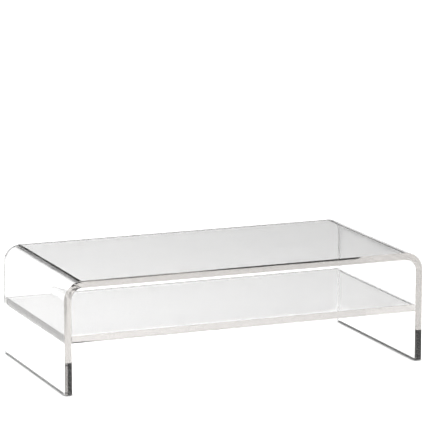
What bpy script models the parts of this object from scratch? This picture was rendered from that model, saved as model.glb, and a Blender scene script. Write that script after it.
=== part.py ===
"""Two-tier clear acrylic monitor riser.

One heat-bent sheet makes the top plate and both legs. A flat shelf is cemented between the legs at
half height, and the legs stand on four clear pads.
Metres, +Z up. X is the width, -Y is the front, and the origin is below the centre, on the desk.
"""

import math

import bmesh
import bpy
from mathutils import Matrix, Vector

# Overall size
WIDTH = 0.508
DEPTH = 0.250
HEIGHT = 0.150

# Bent sheet
SHEET_T = 0.010
INNER_BEND_R = 0.015
BEND_STEPS = 24

# Shelf
SHELF_T = 0.010
SHELF_TOP = 0.0785

# Cement bead in the corner under each end of the shelf
BEAD_LEG = 0.0015
BEAD_END_INSET = 0.004
BEAD_STEPS = 6

# Stick-on pads under the legs
PAD_RADIUS = 0.004
PAD_T = 0.0012
PAD_STEPS = 32
PAD_RIM_R = 0.0004
PAD_RIM_STEPS = 3
PAD_END_INSET = 0.018

# Fits and edges
GAP = 0.0003
EASED_EDGE = 0.0004
EASED_STEPS = 2
EASE_ABOVE_DEG = 30

# Worked out from the sizes above
OUTER_BEND_R = INNER_BEND_R + SHEET_T
LEG_BOTTOM = PAD_T + GAP
LEG_INNER_X = WIDTH / 2 - SHEET_T
LEG_MIDDLE_X = WIDTH / 2 - SHEET_T / 2
SHELF_BOTTOM = SHELF_TOP - SHELF_T


def clear_scene():
    for old in list(bpy.data.objects):
        bpy.data.objects.remove(old, do_unlink=True)


def clear_plastic(name, colour, roughness, ior):
    """A see-through plastic with the given tint, polish and refractive index."""
    material = bpy.data.materials.new(name)
    material.use_nodes = True
    shader = material.node_tree.nodes["Principled BSDF"]
    shader.inputs["Base Color"].default_value = (*colour, 1.0)
    shader.inputs["Roughness"].default_value = roughness
    shader.inputs["Metallic"].default_value = 0.0
    shader.inputs["IOR"].default_value = ior
    shader.inputs["Transmission Weight"].default_value = 1.0
    return material


def add_object(name, bm, material, parent, location=(0.0, 0.0, 0.0)):
    """Turn a finished bmesh into a named object on the riser, with its faces pointing out."""
    bmesh.ops.recalc_face_normals(bm, faces=bm.faces)
    mesh = bpy.data.meshes.new(name)
    bm.to_mesh(mesh)
    bm.free()
    mesh.materials.append(material)
    piece = bpy.data.objects.new(name, mesh)
    bpy.context.collection.objects.link(piece)
    piece.parent = parent
    piece.location = location
    return piece


def ease_edges(piece):
    """Round over the saw-cut edges a little, as sanding and polishing leave them."""
    bevel = piece.modifiers.new("eased_edges", "BEVEL")
    bevel.width = EASED_EDGE
    bevel.segments = EASED_STEPS
    bevel.limit_method = "ANGLE"
    bevel.angle_limit = math.radians(EASE_ABOVE_DEG)


def smooth(piece):
    piece.data.shade_smooth()
    piece.data.set_sharp_from_angle(angle=math.radians(EASE_ABOVE_DEG))


def arc(centre_x, centre_z, radius, start_deg, end_deg, steps):
    """Points from one angle to the other, measured from +X towards +Z."""
    points = []
    for i in range(steps + 1):
        angle = math.radians(start_deg + (end_deg - start_deg) * i / steps)
        points.append((centre_x + radius * math.cos(angle), centre_z + radius * math.sin(angle)))
    return points


def extrude_along_y(outline, length):
    """A prism with this XZ outline, centred on Y = 0."""
    bm = bmesh.new()
    front = bm.faces.new([bm.verts.new((x, -length / 2, z)) for x, z in outline])
    grown = bmesh.ops.extrude_face_region(bm, geom=[front])
    back = [v for v in grown["geom"] if isinstance(v, bmesh.types.BMVert)]
    bmesh.ops.translate(bm, verts=back, vec=Vector((0.0, length, 0.0)))
    return bm


def sheet_outline():
    """The bent sheet from the front: round the inside from left to right, then back outside."""
    centre_x = WIDTH / 2 - OUTER_BEND_R
    centre_z = HEIGHT - OUTER_BEND_R
    outline = [(-LEG_INNER_X, LEG_BOTTOM)]
    outline += arc(-centre_x, centre_z, INNER_BEND_R, 180, 90, BEND_STEPS)
    outline += arc(centre_x, centre_z, INNER_BEND_R, 90, 0, BEND_STEPS)
    outline += [(LEG_INNER_X, LEG_BOTTOM), (WIDTH / 2, LEG_BOTTOM)]
    outline += arc(centre_x, centre_z, OUTER_BEND_R, 0, 90, BEND_STEPS)
    outline += arc(-centre_x, centre_z, OUTER_BEND_R, 90, 180, BEND_STEPS)
    outline += [(-WIDTH / 2, LEG_BOTTOM)]
    return outline


def make_bent_sheet(material, parent):
    piece = add_object("riser_sheet", extrude_along_y(sheet_outline(), DEPTH), material, parent)
    ease_edges(piece)
    smooth(piece)


def make_shelf(material, parent):
    half_x = LEG_INNER_X - GAP
    outline = [(-half_x, -SHELF_T / 2), (half_x, -SHELF_T / 2), (half_x, SHELF_T / 2), (-half_x, SHELF_T / 2)]
    middle = (0.0, 0.0, SHELF_TOP - SHELF_T / 2)
    piece = add_object("shelf_panel", extrude_along_y(outline, DEPTH), material, parent, middle)
    ease_edges(piece)


def make_bead(name, side, material, parent):
    """A hollow-faced fillet of cured cement, in the corner of the shelf's underside and the leg."""
    sweep = arc(-BEAD_LEG, -BEAD_LEG, BEAD_LEG, 90, 0, BEAD_STEPS)
    outline = [(side * x, z) for x, z in [(0.0, 0.0)] + sweep]
    corner = (side * (LEG_INNER_X - GAP), 0.0, SHELF_BOTTOM - GAP)
    length = DEPTH - 2 * BEAD_END_INSET
    piece = add_object(name, extrude_along_y(outline, length), material, parent, corner)
    smooth(piece)


def pad_mesh(material):
    """A low round pad with a rounded lower rim, its flat foot at Z = 0."""
    bm = bmesh.new()
    bmesh.ops.create_cone(
        bm, cap_ends=True, segments=PAD_STEPS, radius1=PAD_RADIUS, radius2=PAD_RADIUS, depth=PAD_T,
        matrix=Matrix.Translation((0.0, 0.0, PAD_T / 2)),
    )
    lower_rim = [e for e in bm.edges if all(v.co.z < PAD_T / 2 for v in e.verts)]
    bmesh.ops.bevel(
        bm, geom=lower_rim, offset=PAD_RIM_R, segments=PAD_RIM_STEPS, affect="EDGES", profile=0.5,
    )
    bmesh.ops.recalc_face_normals(bm, faces=bm.faces)
    mesh = bpy.data.meshes.new("foot_pad")
    bm.to_mesh(mesh)
    bm.free()
    mesh.materials.append(material)
    mesh.shade_smooth()
    mesh.set_sharp_from_angle(angle=math.radians(EASE_ABOVE_DEG))
    return mesh


def make_pads(material, parent):
    mesh = pad_mesh(material)
    end_y = DEPTH / 2 - PAD_END_INSET
    for end, y in (("front", -end_y), ("back", end_y)):
        for side, x in (("left", -LEG_MIDDLE_X), ("right", LEG_MIDDLE_X)):
            pad = bpy.data.objects.new(f"foot_pad_{end}_{side}", mesh)
            bpy.context.collection.objects.link(pad)
            pad.parent = parent
            pad.location = (x, y, 0.0)


def main():
    clear_scene()
    riser = bpy.data.objects.new("riser", None)
    bpy.context.collection.objects.link(riser)

    acrylic = clear_plastic("clear_acrylic", (0.97, 0.98, 0.98), 0.02, 1.49)
    cement = clear_plastic("cured_cement", (0.94, 0.95, 0.94), 0.08, 1.48)
    silicone = clear_plastic("clear_silicone", (0.90, 0.91, 0.90), 0.25, 1.41)

    make_bent_sheet(acrylic, riser)
    make_shelf(acrylic, riser)
    make_bead("weld_bead_left", -1, cement, riser)
    make_bead("weld_bead_right", 1, cement, riser)
    make_pads(silicone, riser)


main()
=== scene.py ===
"""The looks of the two-tier clear acrylic monitor riser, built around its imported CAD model."""

import math

import bmesh
import bpy
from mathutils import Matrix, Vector, noise


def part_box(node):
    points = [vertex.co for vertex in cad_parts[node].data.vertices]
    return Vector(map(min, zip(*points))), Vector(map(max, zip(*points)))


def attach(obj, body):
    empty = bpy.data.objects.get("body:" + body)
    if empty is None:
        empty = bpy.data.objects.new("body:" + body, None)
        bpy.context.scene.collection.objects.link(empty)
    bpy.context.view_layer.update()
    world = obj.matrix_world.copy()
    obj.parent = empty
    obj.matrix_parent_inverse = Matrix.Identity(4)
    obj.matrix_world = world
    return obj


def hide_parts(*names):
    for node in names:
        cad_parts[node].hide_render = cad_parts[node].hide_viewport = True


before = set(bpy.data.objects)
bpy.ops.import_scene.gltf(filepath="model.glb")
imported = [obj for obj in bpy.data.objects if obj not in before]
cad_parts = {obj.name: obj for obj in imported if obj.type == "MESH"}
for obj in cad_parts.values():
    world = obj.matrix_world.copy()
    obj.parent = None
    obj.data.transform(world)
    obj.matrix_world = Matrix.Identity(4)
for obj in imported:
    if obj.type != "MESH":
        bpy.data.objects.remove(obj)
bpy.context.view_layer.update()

# Sheets, in metres: detail that the CAD solids leave out
UNDER_NOMINAL = 0.0002
CORNER_EASE = 0.0003
END_EASE = 0.00025
EASE_STEPS = 4
BEND_STEPS = 48
EDGE_STEPS = 8
BEND_FLARE = 0.0003
FLAT_TOLERANCE = 1e-5

# Weld beads, a hand-run fillet of cement: unevenness and end height are shares of the bead's leg
BEAD_STATIONS = 120
BEAD_ARC_STEPS = 6
BEAD_UNEVEN = 0.22
BEAD_WAVE = 90.0
BEAD_APART = 10.0
BEAD_TAPER = 0.008
BEAD_END = 0.3

# Foot pads: the rings and the top are shares of the pad's radius
PAD_STEPS = 48
PAD_CROWN = 0.00012
PAD_RIM = 0.00035
PAD_FOOT_RINGS = (0.25, 0.5, 0.75)
PAD_TOP = 0.985

# Beads and pads shade as sharp above this angle, in degrees
SHARP_ABOVE = 50

# Optics: how far light bends, and the colour and strength of what each plastic absorbs
ACRYLIC_IOR = 1.49
SHEET_ABSORBS = ((0.15, 0.11, 0.07), 3.7)
SHELF_ABSORBS = ((0.13, 0.09, 0.05), 3.0)
CEMENT_IOR = 1.48
CEMENT_ABSORBS = ((0.55, 0.56, 0.55), 30.0)
SILICONE_IOR = 1.41
SILICONE_ABSORBS = ((0.50, 0.51, 0.50), 160.0)

# Surface detail. GRAIN is in features per metre along X, Y and Z. SHOWS is the part of the noise
# that shows, from none to full. RISE is in metres.
SMEARS_GRAIN = (16.0, 22.0, 16.0)
SMEARS_SHOWS = (0.50, 0.78)
SMEARS_ROUGHNESS = 0.030
HAIRLINES_GRAIN = (14.0, 1700.0, 1700.0)
HAIRLINES_SHOWS = (0.74, 0.80)
HAIRLINES_ROUGHNESS = 0.050
DUST_GRAIN = (420.0, 420.0, 420.0)
DUST_SHOWS = (0.74, 0.80)
DUST_SHADE = 0.93
CASTING_GRAIN = (7.0, 9.0, 7.0)
CASTING_RISE = 0.00012
BEND_FADE = 0.004
BEND_GRAIN = (160.0, 12.0, 160.0)
BEND_RISE = 0.00008
BEND_ROUGHNESS = 0.03
CUT_ZONE = 0.0008
CUT_GRAIN = (1500.0, 30.0, 1500.0)
CUT_RISE = 0.000004
POLISH_GRAIN = (260.0, 60.0, 260.0)
POLISH_SHOWS = (0.35, 0.70)
POLISH_ROUGHNESS = (0.015, 0.045)
BUBBLES_GRAIN = (2600.0, 2600.0, 2600.0)
BUBBLES_SHOWS = (0.62, 0.70)
BUBBLES_ROUGHNESS = 0.45
RIPPLES_GRAIN = (300.0, 180.0, 300.0)
RIPPLES_SHOWS = (0.3, 0.7)
RIPPLES_ROUGHNESS = (0.05, 0.16)
RIPPLES_RISE = 0.00006
MOULD_GRAIN = (3200.0, 3200.0, 3200.0)
MOULD_SHOWS = (0.3, 0.7)
MOULD_ROUGHNESS = (0.22, 0.38)
MOULD_RISE = 0.00003

# Studio light, where 1 is paper white. The horizon, middle and ceiling edges are heights on a unit
# sphere, the front edge is a distance forward on it, and the softbox edge is the cosine of the angle
# from its middle, which is given as azimuth and elevation in degrees.
HORIZON_LEVEL = 1.12
HORIZON_EDGE = (0.08, 0.13)
DIM_LEVEL = 0.03
MIDDLE_LEVEL = 0.35
MIDDLE_EDGE = (0.27, 0.40)
CEILING_LEVEL = 2.35
CEILING_EDGE = (0.60, 0.80)
SOFTBOX_LEVEL = 1.32
SOFTBOX_TOWARDS = (-11.0, 14.0)
SOFTBOX_EDGE = (0.955, 1.012)
FRONT_LEVEL = 0.15
FRONT_EDGE = (0.10, 0.50)

# Floor: its glow is a painted pool of light, falling off to the right by the set amount a metre,
# and painted shade takes it to these shares of itself in front and to the left, over edges in metres
FLOOR_HALF_SIZE = 40.0
FLOOR_ALBEDO = 0.30
FLOOR_GLOW = 1.19
FLOOR_PAINTED_LIGHT_FALL = 0.50
FLOOR_PAINTED_LIGHT_RANGE = (0.61, 1.45)
FLOOR_PAINTED_SHADE_LEFT = 0.40
FLOOR_PAINTED_SHADE_LEFT_EDGE = (-0.375, -0.27)
FLOOR_PAINTED_SHADE_FRONT = 0.60
FLOOR_PAINTED_SHADE_FRONT_EDGE = (-0.45, 0.10)
# Painted contact shadow: ambient occlusion darkens the floor's glow near and under the feet
PAINTED_CONTACT_SHADOW_REACH = 0.006
PAINTED_CONTACT_SHADOW_POWER = 2.0
PAINTED_CONTACT_SHADOW_SAMPLES = 8

# Camera, in widths of the stand from the frame's origin, and its turn in degrees
CAMERA_IN_WIDTHS = (-2.7356, -6.7243, 1.8076)
CAMERA_YAW = 22.152
CAMERA_PITCH = 11.034
CAMERA_CLIP = (0.1, 100)
SENSOR_MM = 36.0
LENS_MM = 237.1

# How often light may bounce, enough for what is caught inside the sheets
BOUNCES = {
    "max_bounces": 64,
    "transmission_bounces": 64,
    "glossy_bounces": 32,
    "transparent_max_bounces": 16,
    "diffuse_bounces": 4,
}


# ---------------------------------------------------------------- helpers

def new_object(name, bm, material):
    """A finished mesh as a visible piece that rides on the stand."""
    bmesh.ops.recalc_face_normals(bm, faces=bm.faces)
    mesh = bpy.data.meshes.new(name)
    bm.to_mesh(mesh)
    bm.free()
    mesh.shade_smooth()
    mesh.materials.append(material)
    piece = bpy.data.objects.new(name, mesh)
    bpy.context.collection.objects.link(piece)
    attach(piece, "root")
    return piece


def keep_flats_flat(piece):
    """Large flat faces keep their own normal, so only the eased edges and the bends look round."""
    modifier = piece.modifiers.new("flat_faces_stay_flat", "WEIGHTED_NORMAL")
    modifier.mode = "FACE_AREA"
    modifier.weight = 100
    modifier.keep_sharp = False


def close_ends(bm, rings):
    bm.faces.new(rings[0])
    bm.faces.new(list(reversed(rings[-1])))


def bridge(bm, ring_a, ring_b):
    """Faces between two rings with the same number of points."""
    count = len(ring_a)
    for i in range(count):
        j = (i + 1) % count
        bm.faces.new((ring_a[i], ring_a[j], ring_b[j], ring_b[i]))


class Graph:
    """Short names for the shader nodes used here."""

    def __init__(self, tree):
        self.tree = tree

    def node(self, kind, **settings):
        """A new node of this kind with these settings."""
        made = self.tree.nodes.new(kind)
        for name, value in settings.items():
            setattr(made, name, value)
        return made

    def feed(self, socket, value):
        """Link a socket to another, or set it to a plain value."""
        if isinstance(value, bpy.types.NodeSocket):
            self.tree.links.new(value, socket)
        else:
            socket.default_value = value

    def math(self, operation, *values):
        """The result of this sum on sockets or plain values."""
        made = self.node("ShaderNodeMath", operation=operation)
        for socket, value in zip(made.inputs, values):
            self.feed(socket, value)
        return made.outputs[0]

    def step(self, value, edges, low=0.0, high=1.0):
        """Smoothly from low to high as the value goes from the first edge to the second."""
        made = self.node("ShaderNodeMapRange", interpolation_type="SMOOTHSTEP")
        self.feed(made.inputs["Value"], value)
        for name, number in zip(("From Min", "From Max", "To Min", "To Max"), (*edges, low, high)):
            self.feed(made.inputs[name], number)
        return made.outputs["Result"]

    def blend(self, share, low, high):
        """Low where the share is 0, high where it is 1."""
        made = self.node("ShaderNodeMix", data_type="FLOAT")
        self.feed(made.inputs["Factor"], share)
        self.feed(made.inputs["A"], low)
        self.feed(made.inputs["B"], high)
        return made.outputs["Result"]

    def place(self):
        """The object's own position in metres: the socket, and its X, Y and Z."""
        where = self.node("ShaderNodeTexCoord").outputs["Object"]
        split = self.node("ShaderNodeSeparateXYZ")
        self.feed(split.inputs[0], where)
        return where, *split.outputs

    def noise(self, where, per_metre, detail=2.0):
        """Noise with this many features in a metre along X, Y and Z."""
        stretch = self.node("ShaderNodeMapping")
        self.feed(stretch.inputs["Vector"], where)
        self.feed(stretch.inputs["Scale"], per_metre)
        made = self.node("ShaderNodeTexNoise")
        self.feed(made.inputs["Vector"], stretch.outputs["Vector"])
        self.feed(made.inputs["Scale"], 1.0)
        self.feed(made.inputs["Detail"], detail)
        return made.outputs["Fac"]

    def bump(self, height, distance, normal=None):
        """A normal tilted by this height map, on top of another normal if one is given."""
        made = self.node("ShaderNodeBump")
        self.feed(made.inputs["Height"], height)
        self.feed(made.inputs["Distance"], distance)
        if normal is not None:
            self.feed(made.inputs["Normal"], normal)
        return made.outputs["Normal"]


# ---------------------------------------------------------------- sheet geometry

def section(half_t, half_d, inset=0.0):
    """Outline of the sheet's cut section, (across, along) points with rounded corners."""
    radius = CORNER_EASE - inset
    a = half_t - CORNER_EASE
    b = half_d - CORNER_EASE
    points = []
    for corner in range(4):
        side_a = 1 if corner in (0, 3) else -1
        side_b = 1 if corner in (0, 1) else -1
        for i in range(EASE_STEPS + 1):
            angle = math.radians(90 * corner + 90 * i / EASE_STEPS)
            points.append((side_a * a + radius * math.cos(angle), side_b * b + radius * math.sin(angle)))
        if corner in (0, 2):
            start = side_a * a
            for i in range(1, EDGE_STEPS):
                points.append((start - 2 * start * i / EDGE_STEPS, side_b * (b + radius)))
    return points


def cap_rings(direction):
    """How far the section is inset and moved along for each ring of an eased end."""
    steps = []
    for i in range(EASE_STEPS + 1):
        angle = math.radians(90 * i / EASE_STEPS)
        steps.append((END_EASE * (1 - math.sin(angle)), direction * END_EASE * (1 - math.cos(angle))))
    return steps


def sweep(stations, half_t, half_d, flare=0.0):
    """Carry the eased section along a path in XZ: (place, outward normal, bend share) stations.

    Where the sheet is bent, its inside spreads along Y by up to the flare and its outside draws in.
    """
    bm = bmesh.new()
    first, last = stations[0], stations[-1]
    run_in = (stations[1][0] - first[0]).normalized()
    run_out = (last[0] - stations[-2][0]).normalized()
    rings = []
    for inset, along in cap_rings(1.0):
        rings.append((first[0] + run_in * along, first[1], 0.0, inset))
    rings += [(place, normal, share, 0.0) for place, normal, share in stations[1:-1]]
    for inset, along in reversed(cap_rings(-1.0)):
        rings.append((last[0] + run_out * along, last[1], 0.0, inset))
    made = []
    for place, normal, share, inset in rings:
        ring = []
        for across, along in section(half_t, half_d, inset):
            grow = -flare * share * across / half_t
            y = along + math.copysign(grow, along)
            ring.append(bm.verts.new(Vector((place.x, y, place.z)) + normal * across))
        made.append(ring)
    for ring_a, ring_b in zip(made, made[1:]):
        bridge(bm, ring_a, ring_b)
    close_ends(bm, made)
    return bm


def read_sheet():
    """Sizes of the bent sheet, read from its CAD solid."""
    low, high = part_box("riser_sheet")
    shelf_low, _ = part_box("shelf_panel")
    _, pad_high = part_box("foot_pad_front_left")
    corners = [v.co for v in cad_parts["riser_sheet"].data.vertices]
    leg_inner_x = min(abs(c.x) for c in corners if c.z < shelf_low.z)
    flat_half = max(abs(c.x) for c in corners if c.z > high.z - FLAT_TOLERANCE)
    return {
        "half_width": high.x,
        "half_depth": high.y,
        "top": high.z,
        "foot": pad_high.z,
        "thickness": high.x - leg_inner_x,
        "outer_radius": high.x - flat_half,
        "bend_x": flat_half,
    }


def sheet_path(size):
    """Mid-line of the bent sheet from the left foot, over the top, to the right foot."""
    radius = size["outer_radius"] - size["thickness"] / 2
    centre_x = size["half_width"] - size["outer_radius"]
    centre_z = size["top"] - size["outer_radius"]
    left = Vector((-1, 0, 0))
    right = Vector((1, 0, 0))
    stations = [(Vector((-centre_x - radius, 0, size["foot"])), left, 0.0)]
    for start, middle in ((180, -centre_x), (90, centre_x)):
        for i in range(BEND_STEPS + 1):
            angle = math.radians(start - 90 * i / BEND_STEPS)
            normal = Vector((math.cos(angle), 0, math.sin(angle)))
            share = math.sin(math.pi * i / BEND_STEPS) ** 2
            stations.append((Vector((middle, 0, centre_z)) + normal * radius, normal, share))
    stations.append((Vector((centre_x + radius, 0, size["foot"])), right, 0.0))
    return stations


def make_sheet(size, material):
    """The top plate and both legs: one sheet with two heated bends."""
    half_t = (size["thickness"] - UNDER_NOMINAL) / 2
    bm = sweep(sheet_path(size), half_t, size["half_depth"], BEND_FLARE)
    piece = new_object("bent_sheet", bm, material)
    keep_flats_flat(piece)
    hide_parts("riser_sheet")


def make_shelf(material):
    """The flat panel between the legs."""
    low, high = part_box("shelf_panel")
    middle = (low.z + high.z) / 2
    up = Vector((0, 0, 1))
    stations = [(Vector((x, 0, middle)), up, 0.0) for x in (low.x, low.x / 2, high.x / 2, high.x)]
    bm = sweep(stations, (high.z - low.z - UNDER_NOMINAL) / 2, high.y)
    piece = new_object("shelf_sheet", bm, material)
    keep_flats_flat(piece)
    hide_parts("shelf_panel")


# ---------------------------------------------------------------- beads and pads

def make_bead(node, material):
    """The cement fillet as a hand runs it: a little uneven, thinning out at both ends."""
    low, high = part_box(node)
    side = 1 if high.x > 0 else -1
    corner_x = side * max(abs(low.x), abs(high.x))
    leg = high.z - low.z
    bm = bmesh.new()
    rings = []
    for i in range(BEAD_STATIONS + 1):
        y = low.y + (high.y - low.y) * i / BEAD_STATIONS
        wander = noise.noise(Vector((corner_x * BEAD_APART, y * BEAD_WAVE, 0.0)))
        to_end = min(y - low.y, high.y - y) / BEAD_TAPER
        taper = min(1.0, BEAD_END + (1 - BEAD_END) * to_end)
        reach = leg * (1 - BEAD_UNEVEN * abs(wander)) * taper
        ring = [bm.verts.new((corner_x, y, high.z))]
        for j in range(BEAD_ARC_STEPS + 1):
            angle = math.radians(90 - 90 * j / BEAD_ARC_STEPS)
            across = reach * (1 - math.cos(angle))
            down = reach * (1 - math.sin(angle))
            ring.append(bm.verts.new((corner_x - side * across, y, high.z - down)))
        rings.append(ring)
    for ring_a, ring_b in zip(rings, rings[1:]):
        bridge(bm, ring_a, ring_b)
    close_ends(bm, rings)
    piece = new_object(f"{node}_run", bm, material)
    piece.data.set_sharp_from_angle(angle=math.radians(SHARP_ABOVE))
    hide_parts(node)


def make_pad(node, material):
    """A moulded pad: rounded rim, and a foot that is slightly crowned."""
    low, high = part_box(node)
    centre_x = (low.x + high.x) / 2
    centre_y = (low.y + high.y) / 2
    radius = (high.x - low.x) / 2
    profile = [(radius * share, PAD_CROWN * share ** 2) for share in PAD_FOOT_RINGS]
    for i in range(EASE_STEPS + 1):
        angle = math.radians(-90 + 90 * i / EASE_STEPS)
        reach = radius - PAD_RIM + PAD_RIM * math.cos(angle)
        profile.append((reach, PAD_CROWN + PAD_RIM + PAD_RIM * math.sin(angle)))
    profile.append((radius * PAD_TOP, high.z - low.z))
    bm = bmesh.new()
    rings = []
    for reach, rise in profile:
        ring = []
        for j in range(PAD_STEPS):
            turn = 2 * math.pi * j / PAD_STEPS
            x = centre_x + reach * math.cos(turn)
            y = centre_y + reach * math.sin(turn)
            ring.append(bm.verts.new((x, y, low.z + rise)))
        rings.append(ring)
    for ring_a, ring_b in zip(rings, rings[1:]):
        bridge(bm, ring_a, ring_b)
    bottom = bm.verts.new((centre_x, centre_y, low.z))
    for j in range(PAD_STEPS):
        bm.faces.new((bottom, rings[0][j], rings[0][(j + 1) % PAD_STEPS]))
    bm.faces.new(rings[-1])
    piece = new_object(f"{node}_moulded", bm, material)
    piece.data.set_sharp_from_angle(angle=math.radians(SHARP_ABOVE))
    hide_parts(node)


# ---------------------------------------------------------------- materials

def clear_material(name, ior, absorbs):
    """A see-through Principled material with tinted depth, and its graph for the surface detail."""
    material = bpy.data.materials.new(name)
    material.use_nodes = True
    graph = Graph(material.node_tree)
    shader = material.node_tree.nodes["Principled BSDF"]
    shader.inputs["IOR"].default_value = ior
    shader.inputs["Transmission Weight"].default_value = 1.0
    volume = graph.node("ShaderNodeVolumeAbsorption")
    colour, density = absorbs
    volume.inputs["Color"].default_value = (*colour, 1.0)
    volume.inputs["Density"].default_value = density
    graph.feed(material.node_tree.nodes["Material Output"].inputs["Volume"], volume.outputs["Volume"])
    return material, graph, shader


def acrylic(name, absorbs, size, bent):
    """Polished cast acrylic: faint smears and hairlines on the faces, machined and polished cut edges."""
    material, graph, shader = clear_material(name, ACRYLIC_IOR, absorbs)
    where, x, y, z = graph.place()

    from_end = graph.math("SUBTRACT", size["half_depth"], graph.math("ABSOLUTE", y))
    cut = graph.step(from_end, (CUT_ZONE, CUT_ZONE / 2))
    from_middle = graph.math("ABSOLUTE", x)
    if bent:
        foot = graph.step(z, (size["foot"] + CUT_ZONE, size["foot"] + CUT_ZONE / 2))
        cut = graph.math("MAXIMUM", cut, foot)
        past_x = graph.step(from_middle, (size["bend_x"] - BEND_FADE, size["bend_x"] + BEND_FADE))
        bend_z = size["top"] - size["outer_radius"]
        past_z = graph.step(z, (bend_z - BEND_FADE, bend_z + BEND_FADE))
        heated = graph.math("MULTIPLY", past_x, past_z)
    else:
        to_leg = size["half_width"] - size["thickness"]
        joined = graph.step(from_middle, (to_leg - 2 * CUT_ZONE, to_leg - CUT_ZONE))
        cut = graph.math("MAXIMUM", cut, joined)
        heated = 0.0

    smears = graph.step(graph.noise(where, SMEARS_GRAIN, 5.0), SMEARS_SHOWS, 0.0, SMEARS_ROUGHNESS)
    hairlines = graph.noise(where, HAIRLINES_GRAIN, 1.0)
    hairlines = graph.step(hairlines, HAIRLINES_SHOWS, 0.0, HAIRLINES_ROUGHNESS)
    handled = graph.math("ADD", smears, hairlines)
    face = graph.math("ADD", handled, graph.math("MULTIPLY", heated, BEND_ROUGHNESS))
    polish = graph.step(graph.noise(where, POLISH_GRAIN, 3.0), POLISH_SHOWS, *POLISH_ROUGHNESS)
    graph.feed(shader.inputs["Roughness"], graph.blend(cut, face, polish))

    dust = graph.step(graph.noise(where, DUST_GRAIN, 0.0), DUST_SHOWS, 1.0, DUST_SHADE)
    tint = graph.node("ShaderNodeCombineColor")
    for socket in tint.inputs:
        graph.feed(socket, dust)
    graph.feed(shader.inputs["Base Color"], tint.outputs["Color"])

    cast = graph.bump(graph.noise(where, CASTING_GRAIN, 1.0), CASTING_RISE)
    waves = graph.noise(where, BEND_GRAIN, 1.0)
    formed = graph.bump(graph.math("MULTIPLY", waves, heated), BEND_RISE, cast)
    lines = graph.noise(where, CUT_GRAIN, 2.0)
    machined = graph.bump(graph.math("MULTIPLY", lines, cut), CUT_RISE, formed)
    graph.feed(shader.inputs["Normal"], machined)
    return material


def cured_cement():
    """Solvent cement: clear, with a rippled skin and fine trapped bubbles that dull it."""
    material, graph, shader = clear_material("cured_cement", CEMENT_IOR, CEMENT_ABSORBS)
    where, _, _, _ = graph.place()
    bubbles = graph.step(graph.noise(where, BUBBLES_GRAIN, 0.0), BUBBLES_SHOWS)
    ripples = graph.noise(where, RIPPLES_GRAIN, 3.0)
    skin = graph.step(ripples, RIPPLES_SHOWS, *RIPPLES_ROUGHNESS)
    graph.feed(shader.inputs["Roughness"], graph.blend(bubbles, skin, BUBBLES_ROUGHNESS))
    pitted = graph.bump(graph.math("SUBTRACT", ripples, bubbles), RIPPLES_RISE)
    graph.feed(shader.inputs["Normal"], pitted)
    return material


def clear_silicone():
    """Moulded silicone: slightly milky, with the mould's fine satin grain."""
    material, graph, shader = clear_material("clear_silicone", SILICONE_IOR, SILICONE_ABSORBS)
    where, _, _, _ = graph.place()
    grain = graph.noise(where, MOULD_GRAIN, 2.0)
    graph.feed(shader.inputs["Roughness"], graph.step(grain, MOULD_SHOWS, *MOULD_ROUGHNESS))
    graph.feed(shader.inputs["Normal"], graph.bump(grain, MOULD_RISE))
    return material


# ---------------------------------------------------------------- stage

def make_floor():
    """White paper with a painted glow: a painted pool of light brightest behind the stand, and painted
    contact shadow only where the feet touch it.
    """
    bm = bmesh.new()
    bmesh.ops.create_grid(bm, x_segments=1, y_segments=1, size=FLOOR_HALF_SIZE)
    mesh = bpy.data.meshes.new("floor")
    bm.to_mesh(mesh)
    bm.free()
    floor = bpy.data.objects.new("floor", mesh)
    bpy.context.collection.objects.link(floor)
    material = bpy.data.materials.new("floor_white_painted_light")
    material.use_nodes = True
    nodes = material.node_tree.nodes
    nodes.remove(nodes["Principled BSDF"])
    graph = Graph(material.node_tree)
    _, x, y, _ = graph.place()

    paint = graph.node("ShaderNodeBsdfDiffuse")
    paint.inputs["Color"].default_value = (FLOOR_ALBEDO, FLOOR_ALBEDO, FLOOR_ALBEDO, 1.0)
    # Painted light: the glow falls off to the right and is darkened in front and to the left, a painted
    # pool of light with painted shade around it
    painted_light_pool = graph.math("MULTIPLY_ADD", x, -FLOOR_PAINTED_LIGHT_FALL, FLOOR_GLOW)
    painted_light_pool = graph.math("MULTIPLY", painted_light_pool, graph.step(y, FLOOR_PAINTED_SHADE_FRONT_EDGE, FLOOR_PAINTED_SHADE_FRONT, 1.0))
    painted_light_pool = graph.math("MULTIPLY", painted_light_pool, graph.step(x, FLOOR_PAINTED_SHADE_LEFT_EDGE, FLOOR_PAINTED_SHADE_LEFT, 1.0))
    painted_light_pool = graph.math("MINIMUM", graph.math("MAXIMUM", painted_light_pool, FLOOR_PAINTED_LIGHT_RANGE[0]), FLOOR_PAINTED_LIGHT_RANGE[1])
    # Painted contact shadow: the glow is darkened by ambient occlusion where the feet stand
    ambient_occlusion = graph.node("ShaderNodeAmbientOcclusion", samples=PAINTED_CONTACT_SHADOW_SAMPLES)
    ambient_occlusion.inputs["Distance"].default_value = PAINTED_CONTACT_SHADOW_REACH
    painted_contact_shadow = graph.math("POWER", ambient_occlusion.outputs["AO"], PAINTED_CONTACT_SHADOW_POWER)
    glow = graph.node("ShaderNodeEmission")
    graph.feed(glow.inputs["Strength"], graph.math("MULTIPLY", painted_light_pool, painted_contact_shadow))
    both = graph.node("ShaderNodeAddShader")
    graph.feed(both.inputs[0], paint.outputs["BSDF"])
    graph.feed(both.inputs[1], glow.outputs["Emission"])
    graph.feed(nodes["Material Output"].inputs["Surface"], both.outputs["Shader"])
    mesh.materials.append(material)


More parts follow.
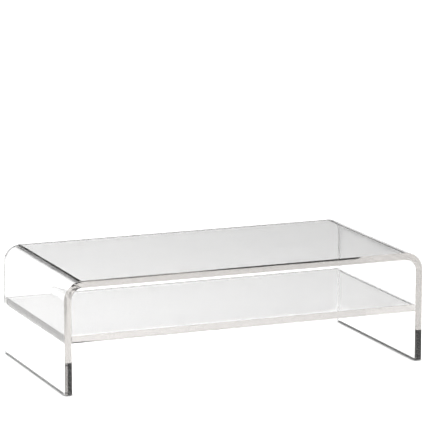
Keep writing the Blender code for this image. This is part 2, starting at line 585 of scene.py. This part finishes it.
def softbox(graph, direction):
    """The brightness of a round, soft-edged light in the sky, for each direction."""
    azimuth, elevation = map(math.radians, SOFTBOX_TOWARDS)
    towards = Vector((math.sin(azimuth), math.cos(azimuth), math.tan(elevation))).normalized()
    facing = graph.node("ShaderNodeVectorMath", operation="DOT_PRODUCT")
    graph.feed(facing.inputs[0], direction)
    graph.feed(facing.inputs[1], towards)
    return graph.step(facing.outputs["Value"], SOFTBOX_EDGE, 0.0, SOFTBOX_LEVEL)


def make_world():
    """Soft studio: white at and below the horizon, dim above it, a softbox behind, a bright ceiling."""
    world = bpy.data.worlds.new("studio")
    bpy.context.scene.world = world
    world.use_nodes = True
    graph = Graph(world.node_tree)
    direction = graph.node("ShaderNodeTexCoord").outputs["Generated"]
    split = graph.node("ShaderNodeSeparateXYZ")
    graph.feed(split.inputs[0], direction)
    _, depth, height = split.outputs

    above = DIM_LEVEL
    for light in (
        softbox(graph, direction),
        graph.step(graph.math("MULTIPLY", depth, -1.0), FRONT_EDGE, 0.0, FRONT_LEVEL),
        graph.step(height, MIDDLE_EDGE, 0.0, MIDDLE_LEVEL),
        graph.step(height, CEILING_EDGE, 0.0, CEILING_LEVEL),
    ):
        above = graph.math("ADD", light, above)
    level = graph.blend(graph.step(height, HORIZON_EDGE), HORIZON_LEVEL, above)
    background = world.node_tree.nodes["Background"]
    background.inputs["Color"].default_value = (1.0, 1.0, 1.0, 1.0)
    graph.feed(background.inputs["Strength"], level)


def make_camera(width):
    """A long lens in front of the stand's left leg, looking down a little."""
    data = bpy.data.cameras.new("camera")
    data.lens = LENS_MM
    data.sensor_width = SENSOR_MM
    data.clip_start, data.clip_end = CAMERA_CLIP
    camera = bpy.data.objects.new("camera", data)
    bpy.context.collection.objects.link(camera)
    camera.location = [width * part for part in CAMERA_IN_WIDTHS]
    camera.rotation_euler = (math.radians(90 - CAMERA_PITCH), 0, math.radians(-CAMERA_YAW))
    bpy.context.scene.camera = camera


def set_look():
    """Plain view transform, and the bounces given above."""
    scene = bpy.context.scene
    scene.view_settings.view_transform = "Standard"
    scene.view_settings.look = "None"
    for name, count in BOUNCES.items():
        setattr(scene.cycles, name, count)


SIZE = read_sheet()
make_camera(2 * SIZE["half_width"])
set_look()
make_world()
make_floor()

make_sheet(SIZE, acrylic("sheet_acrylic", SHEET_ABSORBS, SIZE, bent=True))
make_shelf(acrylic("shelf_acrylic", SHELF_ABSORBS, SIZE, bent=False))
CEMENT = cured_cement()
SILICONE = clear_silicone()
for node_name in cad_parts:
    if node_name.startswith("weld_bead"):
        make_bead(node_name, CEMENT)
    elif node_name.startswith("foot_pad"):
        make_pad(node_name, SILICONE)
